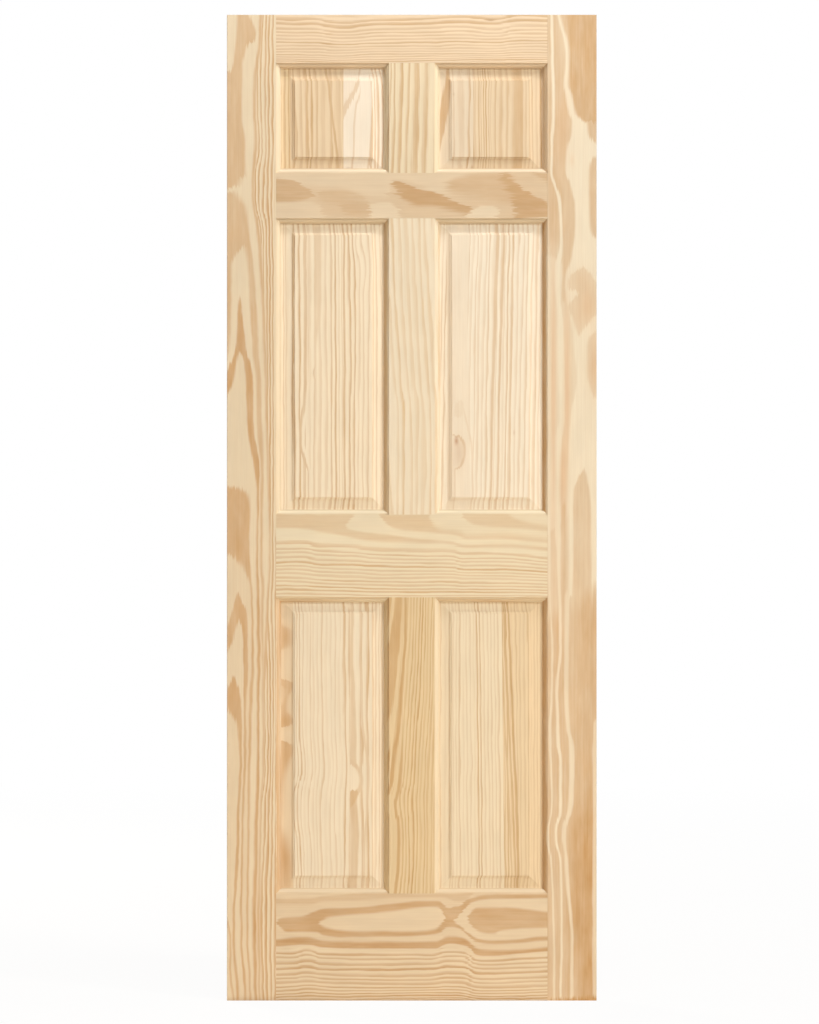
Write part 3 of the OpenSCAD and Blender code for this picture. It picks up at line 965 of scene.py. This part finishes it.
@dataclass
class Mullions:
    """The three short upright boards between the panels."""

    top_pine: Pine = Pine("EEDDBF", "D2AE83")
    middle_pine: Pine = Pine("F2E3CB", "E1C49D")
    bottom_pine: Pine = Pine("E7D0A9", "CA9F6C")
    bottom_highlight_edge: Pine = Pine("EFDEC2", "D8B88C")

    def top(self) -> PinePiece:
        """Top mullion: five clear lines that drift to the left downwards.

        Returns:
            The piece.
        """
        lines = Rings(
            ((100, 334), (330, 327)), ((100, 434), (330, 427)),
            (0.06, 0.155, 0.315, 0.435, 0.655, 0.845))
        board = Stave(
            # Painted light: both stickings are kept pale, the right one as a highlight where it faces
            # the light, the left one lifting the shade where it faces away.
            self.top_pine, lines, (Patch(0.0, None, ((94, 427),)), Patch(0.0, ((94, 332),))), even=0.75,
            wander=0.15, thin=(0.7, 1.1))
        return PinePiece("top_mullion", Grain.UPRIGHT, (board,), seed=7.0)

    def middle(self) -> PinePiece:
        """Middle mullion: pale, with faint lines that slant to the right and then run straight.

        Returns:
            The piece.
        """
        lines = Rings(
            ((412, 318), (560, 324), (720, 334), (765, 337), (810, 343), (900, 345), (1034, 344)),
            ((412, 424), (560, 430), (720, 440), (765, 442), (810, 447), (1034, 447)),
            (0.1, 0.24, 0.37, 0.5, 0.63, 0.76, 0.9))
        # Painted shade: the left sticking, which faces away from the light, is turned full summer-wood
        # tan.
        board = Stave(self.middle_pine, lines, (Patch(1.0, ((412, 333),)),), even=0.5, thin=(0.6, 1.2))
        return PinePiece("middle_mullion", Grain.UPRIGHT, (board,), seed=8.0)

    def bottom(self) -> PinePiece:
        """Bottom mullion: golden, with broad bands that lean to the left and a kink low down.

        Returns:
            The piece.
        """
        lines = Rings(
            ((1196, 350), (1300, 346), (1400, 338), (1500, 326), (1580, 320), (1622, 310), (1662, 316),
             (1720, 318), (1818, 308)), ((1196, 440), (1400, 434), (1580, 428), (1818, 424)),
            (0.1, 0.19, 0.27, 0.35, 0.42, 0.49, 0.56, 0.63, 0.7, 0.77, 0.84, 0.91, 0.98))
        patches = (
            Patch(0.65,
                  ((1196, 362), (1260, 360), (1320, 355), (1360, 351), (1400, 345), (1440, 338),
                   (1480, 326)),
                  None, (3, 5)),
            streak(0.1, ((1196, 340, 347), (1240, 336, 343), (1280, 330, 337), (1330, 322, 326)),
                   (3, 4)),
            streak(0.1,
                   ((1196, 362, 366), (1300, 358, 363), (1340, 352, 358), (1400, 346, 352),
                    (1450, 339, 346), (1500, 331, 338), (1540, 324, 328)), (3, 4)),
            streak(0.1,
                   ((1440, 361, 362), (1500, 354, 359), (1560, 347, 354), (1596, 344, 351),
                    (1612, 338, 346), (1626, 335, 342), (1642, 337, 343), (1664, 343, 348),
                    (1720, 343, 349), (1818, 335, 341)), (3, 3)),
            streak(0.75,
                   ((1300, 366, 370), (1360, 360, 366), (1420, 354, 361), (1480, 348, 355),
                    (1520, 341, 349), (1580, 334, 342), (1610, 328, 332)), (4, 3)),
            streak(0.7,
                   ((1480, 362, 362), (1560, 355, 361), (1596, 352, 358), (1612, 347, 353),
                    (1626, 344, 350), (1642, 345, 351), (1664, 350, 356), (1720, 351, 357),
                    (1818, 343, 349)), (3, 4)),
            # Painted light: the left sticking, which faces away from the light, is kept pale to lift its
            # shade.
            Patch(0.1, ((1196, 332),)))
        board = Stave(self.bottom_pine, lines, patches, even=0.35, thin=(0.6, 1.4))
        # Painted highlight: a paler stave over the right sticking, which faces the light.
        edge = Stave(self.bottom_highlight_edge, base=0.1, start=((1196, 428),))
        return PinePiece("bottom_mullion", Grain.UPRIGHT, (board, edge), seed=9.0)

    def dress(self) -> None:
        """Dresses the three mullions."""
        self.top().dress()
        self.middle().dress()
        self.bottom().dress()


@dataclass
class Panels:
    """The six raised panels, glued up from narrow staves."""

    top_left_rind: Pine = Pine("EFD9B5", "D2AB7E")
    top_left_pine: Pine = Pine("EDD6B6", "D0AA7D")
    top_left_pale: Pine = Pine("F8EAD7", "DCBB95")
    top_right_pine: Pine = Pine("ECDAC1", "CDA679")
    top_right_tan: Pine = Pine("EBD5B6", "CCA474")
    middle_left_pine: Pine = Pine("F9E9D0", "D7B388")
    middle_right_pine: Pine = Pine("FAEDD9", "DFC19D", "BE8860")
    bottom_left_pine: Pine = Pine("F2E3CB", "D7B68E")
    bottom_left_rind: Pine = Pine("F0DDC0", "D0A573", "C69152")
    bottom_right_pine: Pine = Pine("F0E0C5", "D0AC80")
    bottom_right_tan: Pine = Pine("ECD6B4", "CDA87A")

    def top_left(self) -> PinePiece:
        """Top left panel: soft lines that lean to the right, then a pale stave with a fork.

        Returns:
            The piece.
        """
        rind = Rings(((94, 100),), ((94, 136),), (0.26, 0.52, 0.74, 0.97))
        lines = Rings(
            ((94, 100),), ((94, 240), (332, 244)),
            (0.137, 0.19, 0.25, 0.324, 0.427, 0.511, 0.557, 0.67, 0.747, 0.85, 0.98))
        dark = streak(
            0.7, ((94, 205, 210), (150, 211, 216), (200, 217, 222), (240, 222, 227), (332, 233, 239)),
            (4, 3))
        pale_lines = Rings(
            ((94, 232), (332, 236)), ((94, 330), (160, 338), (332, 340)), (0.66, 0.74, 0.82, 0.9, 0.98))
        fork = (
            Patch(0.03, ((94, 294), (160, 300), (240, 298), (332, 296))),
            Patch(0.16, ((94, 282), (142, 270), (180, 254), (230, 234)), None, (4, 6)),
            Patch(0.6, ((94, 286), (142, 276), (160, 270), (180, 259), (200, 249), (232, 236)),
                  ((94, 284), (130, 275), (142, 269), (160, 260), (180, 247), (200, 240), (232, 236)),
                  (4, 3)),
            streak(0.5,
                   ((140, 280, 279), (165, 275, 278), (190, 268, 271), (230, 264, 268), (300, 262, 266)),
                   (3, 3)))
        return PinePiece(
            "top_left_panel", Grain.UPRIGHT,
            (Stave(self.top_left_rind, rind, even=0.7, thin=(0.6, 1.0)),
             Stave(self.top_left_pine, lines, (dark,), start=((90, 131),), even=0.3, thin=(0.5, 1.0)),
             Stave(self.top_left_pale, pale_lines, fork, start=((90, 240),), even=0.8)),
            (Mark(315, 250, 3, 6, stain_and_shade=0.3),), seed=10.0)

    def top_right(self) -> PinePiece:
        """Top right panel: a pale stave with a tan wedge, then close upright lines.

        Returns:
            The piece.
        """
        wedge = Patch(
            0.75, ((94, 466), (180, 463), (230, 456), (260, 449), (300, 441)),
            ((94, 462), (130, 456), (180, 448), (230, 443), (300, 437)), (5, 4))
        left = Rings(((94, 424),), ((94, 512),), (0.2, 0.455, 0.55, 0.76, 0.93))
        lines = Rings(
            ((94, 508),), ((94, 664),),
            (0.026, 0.058, 0.11, 0.135, 0.17, 0.205, 0.244, 0.27, 0.333, 0.423, 0.487, 0.673, 0.73,
             0.776, 0.827, 0.897, 0.95))
        bands = (
            Patch(0.6, ((94, 614),), ((94, 593),), (12, 4)),
            Patch(0.85, ((94, 512), (332, 514)), ((94, 500),), (3, 3)))
        return PinePiece(
            "top_right_panel", Grain.UPRIGHT,
            (Stave(self.top_right_pine, left, (wedge,), even=0.05),
             Stave(self.top_right_tan, lines, bands, start=((90, 508),), even=0.35, wander=0.15)),
            (Mark(163, 468, 4, 2, stain_and_shade=0.35),), seed=11.0)

    def middle_left(self) -> PinePiece:
        """Middle left panel: close upright lines that wave at the upper right, a swirl low on the left.

        Returns:
            The piece.
        """
        lines = Rings(
            ((410, 100),), ((410, 338), (640, 342), (1040, 341)),
            (0.07, 0.1, 0.12, 0.186, 0.231, 0.277, 0.318, 0.355, 0.405, 0.455, 0.5, 0.533, 0.562, 0.587,
             0.607, 0.657, 0.698, 0.731, 0.769, 0.814, 0.86, 0.893, 0.94))
        bands = (
            streak(0.6, ((410, 164, 171), (700, 163, 171), (820, 160, 164)), (5, 5)),
            Patch(0.75, ((410, 228), (1040, 230)), ((410, 225), (1040, 226)), (2, 2)),
            Patch(0.75, ((410, 247),), ((410, 243),), (3, 2)),
            streak(0.4, ((410, 182, 197), (560, 184, 197), (700, 184, 186)), (6, 8)),
            streak(0.65,
                   ((790, 162, 163), (850, 153, 158), (880, 152, 157), (905, 156, 162), (940, 170, 172)),
                   (3, 3)),
            streak(0.0,
                   ((800, 168, 170), (850, 159, 164), (880, 158, 163), (905, 163, 168), (940, 174, 176)),
                   (3, 3)))
        return PinePiece(
            "middle_left_panel", Grain.UPRIGHT,
            (Stave(self.middle_left_pine, lines, bands, even=0.3, wander=0.2, thin=(0.8, 1.8)),),
            (Mark(738, 180, 9, 5, 3.0, 0.14), Mark(470, 268, 30, 12, 5.0), Mark(525, 288, 40, 14, -5.0)),
            seed=12.0)

    def middle_right(self) -> PinePiece:
        """Middle right panel: a wide pale stave with a small knot, then soft leaning lines.

        Returns:
            The piece.
        """
        lines = Rings(
            ((410, 440), (600, 432), (1040, 424)), ((410, 668), (600, 662), (1040, 656)),
            (0.04, 0.08, 0.11, 0.26, 0.3, 0.335, 0.375, 0.41, 0.45, 0.485, 0.535, 0.555, 0.59, 0.63,
             0.66, 0.7, 0.745, 0.79, 0.83, 0.88, 0.93, 0.97))
        bands = (
            Patch(0.22, ((410, 502), (700, 500), (1040, 508)), ((410, 470), (1040, 464)), (6, 4)),
            streak(0.8,
                   ((410, 561, 567), (500, 557, 564), (650, 551, 558), (800, 548, 553),
                    (1040, 545, 549)), (4, 3)),
            streak(0.8,
                   ((410, 575, 579), (500, 571, 576), (650, 565, 570), (800, 562, 566),
                    (1040, 559, 563)), (3, 2)),
            streak(0.36, ((792, 488, 484), (804, 474, 490), (822, 472, 489), (832, 482, 478)), (6, 6)),
            streak(0.45,
                   ((806, 489, 488), (830, 493, 497), (860, 500, 504), (900, 507, 511), (960, 508, 512),
                    (1040, 507, 510)), (3, 3)),
            Patch(0.7,
                  ((865, 468), (868, 484), (874, 490), (886, 495), (904, 496), (920, 493), (932, 487),
                   (938, 474)), ((865, 460), (938, 460)), (4, 3)),
            Patch(0.3,
                  ((868, 468), (872, 480), (878, 486), (888, 491), (904, 492), (918, 489), (930, 483),
                   (936, 472)), ((868, 460), (936, 460))))
        return PinePiece(
            "middle_right_panel", Grain.UPRIGHT,
            (Stave(self.middle_right_pine, lines, bands, ragged=8.0, even=0.4),),
            (Mark(878, 473, 8, 4, stain_and_shade=0.75), Mark(904, 478, 28, 14, stain_and_shade=0.2),
             Mark(861, 592, 5, 2, 2.0, 0.45)),
            seed=13.0)

    def bottom_left(self) -> PinePiece:
        """Bottom left panel: blotched rind on the left bevel, waving lines, a pale eye on the right.

        Returns:
            The piece.
        """
        blots = (
            Patch(0.5, ((1250, 100), (1260, 118), (1270, 132), (1290, 134), (1302, 128), (1314, 100)),
                  None, (4, 24)),
            Patch(0.6,
                  ((1366, 100), (1372, 126), (1380, 138), (1392, 136), (1406, 129), (1430, 127),
                   (1446, 134), (1456, 138), (1464, 132), (1472, 100)),
                  None, (4, 10)),
            Patch(0.3, ((1378, 100), (1386, 120), (1396, 126), (1410, 122), (1440, 100)), None, (4, 14)),
            Patch(0.6,
                  ((1494, 100), (1502, 130), (1514, 138), (1540, 130), (1560, 124), (1600, 118),
                   (1640, 116), (1680, 108)),
                  None, (4, ((1494, 8), (1540, 14), (1640, 24)))),
            Patch(0.5, ((1650, 100), (1690, 118), (1720, 128), (1760, 136), (1800, 138)), None, (4, 22)))
        spots = (
            Mark(1282, 121, 22, 10, stain_and_shade=0.3), Mark(1456, 120, 14, 12, stain_and_shade=0.4),
            Mark(1530, 122, 26, 9, stain_and_shade=0.25), Mark(1740, 119, 46, 12, stain_and_shade=0.42),
            Mark(1395, 120, 24, 9, stain_and_shade=0.14))
        lines = Rings(
            ((1194, 134), (1480, 134), (1550, 138), (1620, 128), (1700, 134), (1820, 140)),
            ((1194, 256), (1480, 256), (1550, 259), (1640, 256), (1820, 256)),
            (0.05, 0.11, 0.165, 0.22, 0.28, 0.345, 0.41, 0.475, 0.55, 0.63, 0.7, 0.78, 0.86, 0.94))
        right = Rings(
            ((1194, 250), (1820, 250)), ((1194, 340),),
            (0.16, 0.36, 0.5, 0.6, 0.68, 0.75, 0.82, 0.9, 0.97))
        eye = (
            Patch(0.55, ((1194, 260), (1360, 262), (1450, 267), (1540, 269)),
                  ((1194, 258), (1360, 256), (1540, 255)), (5, 5)),
            Patch(0.65, ((1610, 250), (1630, 268), (1660, 270), (1700, 272), (1740, 270), (1820, 270)),
                  ((1610, 250), (1660, 256), (1700, 262), (1760, 266), (1820, 266)), (6, 5)),
            streak(0.5,
                   ((1194, 275, 279), (1400, 277, 281), (1480, 281, 285), (1540, 288, 292),
                    (1580, 290, 294), (1640, 288, 292), (1700, 283, 287), (1820, 281, 285)), (3, 4)),
            Patch(0.62,
                  ((1528, 250), (1540, 264), (1552, 275), (1565, 280), (1580, 282), (1596, 280),
                   (1606, 273), (1622, 250)),
                  None, (3, 5)),
            Patch(0.08,
                  ((1542, 250), (1552, 266), (1562, 272), (1578, 275), (1592, 272), (1600, 264),
                   (1606, 250)),
                  None, (3, 6)),
            Patch(0.9, ((1596, 250), (1604, 272), (1612, 270), (1624, 264), (1644, 250)),
                  ((1596, 264), (1604, 254), (1644, 250)), (4, 6)))
        return PinePiece(
            "bottom_left_panel", Grain.UPRIGHT,
            (Stave(self.bottom_left_rind, None, blots, base=0.12, lean=0.2, ragged=4.0),
             Stave(self.bottom_left_pine, lines, start=((1190, 136),), even=0.2, thin=(0.7, 1.6)),
             Stave(self.bottom_left_pine, right, eye, start=((1190, 254),), lean=0.2, ragged=6.0)),
            spots, seed=14.0)

    def bottom_right(self) -> PinePiece:
        """Bottom right panel: fine upright lines, some darker ones that lean to the right.

        Returns:
            The piece.
        """
        lines = Rings(
            ((1194, 424),), ((1194, 572), (1820, 580)),
            (0.05, 0.11, 0.16, 0.22, 0.27, 0.315, 0.36, 0.41, 0.455, 0.5, 0.55, 0.6, 0.645, 0.69, 0.74,
             0.79, 0.84, 0.89, 0.94))
        right = Rings(
            ((1194, 566), (1820, 574)), ((1194, 664),),
            (0.06, 0.13, 0.2, 0.28, 0.35, 0.43, 0.52, 0.6, 0.68, 0.76, 0.84, 0.92))
        dark = (
            streak(0.85,
                   ((1194, 581, 585), (1300, 585, 589), (1500, 592, 597), (1700, 599, 604),
                    (1820, 603, 608)), (3, 3)),
            streak(0.7,
                   ((1194, 573, 576), (1300, 575, 579), (1500, 584, 588), (1700, 593, 597),
                    (1820, 599, 602)), (3, 2)),
            streak(0.55, ((1380, 570, 572), (1500, 576, 579), (1700, 586, 589), (1820, 592, 595)),
                   (2, 2)),
            streak(0.6, ((1590, 570, 572), (1700, 574, 577), (1820, 580, 583)), (2, 2)))
        return PinePiece(
            "bottom_right_panel", Grain.UPRIGHT,
            (Stave(self.bottom_right_pine, lines, even=0.2, thin=(0.7, 1.6)),
             Stave(self.bottom_right_tan, right, dark, start=((1190, 566), (1820, 572)), even=0.25,
                   thin=(0.7, 1.6))),
            seed=15.0)

    def dress(self) -> None:
        """Dresses the six panels."""
        for piece in (self.top_left(), self.top_right(), self.middle_left(), self.middle_right(),
                      self.bottom_left(), self.bottom_right()):
            piece.dress()


@dataclass
class Dowels:
    """The hidden beech dowels, which keep their CAD shape."""

    beech: Beech = Beech()
    level: tuple[str, ...] = ("top_rail_dowels", "frieze_rail_dowels", "lock_rail_dowels",
                              "bottom_rail_dowels")
    upright: tuple[str, ...] = ("top_mullion_dowels", "middle_mullion_dowels", "bottom_mullion_dowels")

    def material(self, name: str, stretch: Place) -> bpy.types.Material:
        """Beech: an even ground with short darker flecks along the dowel.

        Args:
            name: name of the material.
            stretch: flecks in each metre along the three axes.

        Returns:
            The finished material.
        """
        material = bpy.data.materials.new(name)
        tree = empty_tree(material)
        here = add_node(tree, "ShaderNodeTexCoord", out=3)
        at = add_node(tree, "ShaderNodeVectorMath", here, stretch, operation="MULTIPLY")
        scale, detail, rough = 1.0, 3.0, 0.6
        cloud = add_node(tree, "ShaderNodeTexNoise", at, None, scale, detail, rough)
        fleck = add_node(tree, "ShaderNodeMapRange", cloud, *self.beech.span, 0.0, 1.0)
        ground, dark = linear(self.beech.ground), linear(self.beech.fleck)
        wood = add_node(tree, "ShaderNodeMixRGB", fleck, ground, dark)
        surface = add_node(tree, "ShaderNodeBsdfPrincipled", wood, None, self.beech.rough)
        surface.node.inputs["Specular IOR Level"].default_value = self.beech.shine
        add_node(tree, "ShaderNodeOutputMaterial", surface)
        return material

    def dress(self) -> None:
        """Gives the dowels beech whose flecks follow their length."""
        along, across = self.beech.along, self.beech.across
        level = self.material("bare_beech_level", (along, across, across))
        upright = self.material("bare_beech_upright", (across, across, along))
        for names, beech in ((self.level, level), (self.upright, upright)):
            for name in names:
                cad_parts[name].material_slots[0].material = beech
                log.info("%s dressed", name)


@dataclass(frozen=True)
class SoftBox:
    """One soft light of the studio.

    Attributes:
        name: name of the light.
        at: where it hangs, in metres.
        aim: the point it faces, in metres.
        size: width and height, in metres.
        power: watts.
        colour: colour of the light.
    """

    name: str
    at: Place
    aim: Place
    size: tuple[float, float]
    power: float
    colour: str = "FFFFFF"


@dataclass
class Studio:
    """White room, floor, lights and camera.

    Attributes:
        view_high: height of the picture at the leaf's face, in metres.
        lens: focal length, in mm.
        stand: where the camera stands to the side and in height, in metres.
        sight: how far the camera sees, in metres.
        room_glow: strength of the room's light.
        room_tint: colour of the room's light.
        floor_paint: colour of the floor.
        floor_reach: half width of the floor, in metres.
        near_white: share of plain white that the camera sees on the floor beside the leaf.
        white_from: distance up to which that share holds, in metres.
        white_to: distance from which the floor is plain white, in metres.
        boxes: the lights.
    """

    view_high: float = 2.1108
    lens: float = 150.0
    stand: tuple[float, float] = (-0.0047, 1.0071)
    sight: float = 200.0
    room_glow: float = 0.135
    room_tint: str = "FFF0DA"
    floor_paint: str = "F2E8D8"
    floor_reach: float = 60.0
    near_white: float = 0.95
    white_from: float = 1.0
    white_to: float = 7.0
    boxes: tuple[SoftBox, ...] = (
        SoftBox("overhead_box", (0.25, -0.74, 3.33), (0.0, -0.1, 1.2), (0.9, 0.2), 16.0),
        SoftBox("side_box", (7.0, -7.0, 7.4), (0.0, 0.0, 1.0), (1.6, 1.6), 655.0, "FBFFFF"),
        SoftBox("high_box", (0.3, -1.9, 6.4), (0.0, 0.0, 1.0), (1.0, 0.3), 57.0),
        SoftBox("low_box", (0.5, -1.8, 0.25), (0.0, 0.0, 0.5), (1.2, 0.3), 9.0, "FFF1DC"),
        SoftBox("back_box", (-3.0, 4.5, 2.6), (0.0, 0.0, 1.0), (1.5, 1.5), 230.0, "FFF8EE"))

    def backdrop(self) -> None:
        """Lights the room softly and shows it to the camera as plain white."""
        world = bpy.data.worlds.new("white_room")
        bpy.context.scene.world = world
        tree = empty_tree(world)
        rays = add_node(tree, "ShaderNodeLightPath").node.outputs
        seen = add_node(tree, "ShaderNodeMath", rays["Is Camera Ray"], rays["Is Transmission Ray"],
                        operation="MAXIMUM")
        strength = add_node(tree, "ShaderNodeMapRange", seen, 0.0, 1.0, self.room_glow, 1.0)
        tint = add_node(tree, "ShaderNodeMixRGB", seen, linear(self.room_tint), linear("FFFFFF"))
        glow = add_node(tree, "ShaderNodeBackground", tint, strength)
        add_node(tree, "ShaderNodeOutputWorld", glow)

    def floor(self) -> None:
        """Lays a pale floor that keeps the leaf's shadow and turns white for the camera further off."""
        wide = self.floor_reach
        mesh = bpy.data.meshes.new("studio_floor")
        mesh.from_pydata([(-wide, -wide, 0), (wide, -wide, 0), (wide, wide, 0), (-wide, wide, 0)], [],
                         [(0, 1, 2, 3)])
        thing = bpy.data.objects.new("studio_floor", mesh)
        bpy.context.scene.collection.objects.link(thing)
        paint = bpy.data.materials.new("white_paint_floor")
        tree = empty_tree(paint)
        rays = add_node(tree, "ShaderNodeLightPath").node.outputs
        here = add_node(tree, "ShaderNodeTexCoord", out=3)
        away = add_node(tree, "ShaderNodeVectorMath", here, operation="LENGTH", out=1)
        blank = add_node(tree, "ShaderNodeMapRange", away, self.white_from, self.white_to,
                         self.near_white, 1.0)
        share = add_node(tree, "ShaderNodeMath", rays["Is Camera Ray"], blank, operation="MULTIPLY")
        plain = add_node(tree, "ShaderNodeBsdfDiffuse", linear(self.floor_paint))
        white = add_node(tree, "ShaderNodeEmission", linear("FFFFFF"), 1.0)
        both = add_node(tree, "ShaderNodeMixShader", share, plain, white)
        add_node(tree, "ShaderNodeOutputMaterial", both)
        mesh.materials.append(paint)

    def lamp(self, box: SoftBox) -> None:
        """Hangs one soft box.

        Args:
            box: the soft box.
        """
        data = bpy.data.lights.new(box.name, "AREA")
        data.color = linear(box.colour)[:3]
        data.shape = "RECTANGLE"
        data.size, data.size_y = box.size
        data.energy = box.power
        thing = bpy.data.objects.new(box.name, data)
        thing.location = box.at
        thing.rotation_mode = "QUATERNION"
        thing.rotation_quaternion = (Vector(box.aim) - Vector(box.at)).to_track_quat("-Z", "Y")
        bpy.context.scene.collection.objects.link(thing)

    def camera(self) -> None:
        """Stands the camera square in front, so that the leaf fills the frame as in the photo."""
        data = bpy.data.cameras.new("camera")
        data.lens = self.lens
        away = self.view_high * self.lens / data.sensor_width
        thing = bpy.data.objects.new("camera", data)
        thing.location = (self.stand[0], -LEAF_T / 2 / MM - away, self.stand[1])
        thing.rotation_mode = "QUATERNION"
        thing.rotation_quaternion = Vector((0, 1, 0)).to_track_quat("-Z", "Y")
        data.clip_end = self.sight
        bpy.context.scene.collection.objects.link(thing)
        bpy.context.scene.camera = thing

    def build(self) -> None:
        """Sets up the whole studio."""
        bpy.context.scene.view_settings.view_transform = "Standard"
        self.backdrop()
        self.floor()
        for box in self.boxes:
            self.lamp(box)
        self.camera()
        log.info("studio set")


def main() -> None:
    """Dresses every sub-assembly, then sets the studio."""
    logging.basicConfig(level=logging.INFO)
    for part in (Stiles(), Rails(), Mullions(), Panels(), Dowels()):
        part.dress()
    Studio().build()


if __name__ == "__main__":
    main()
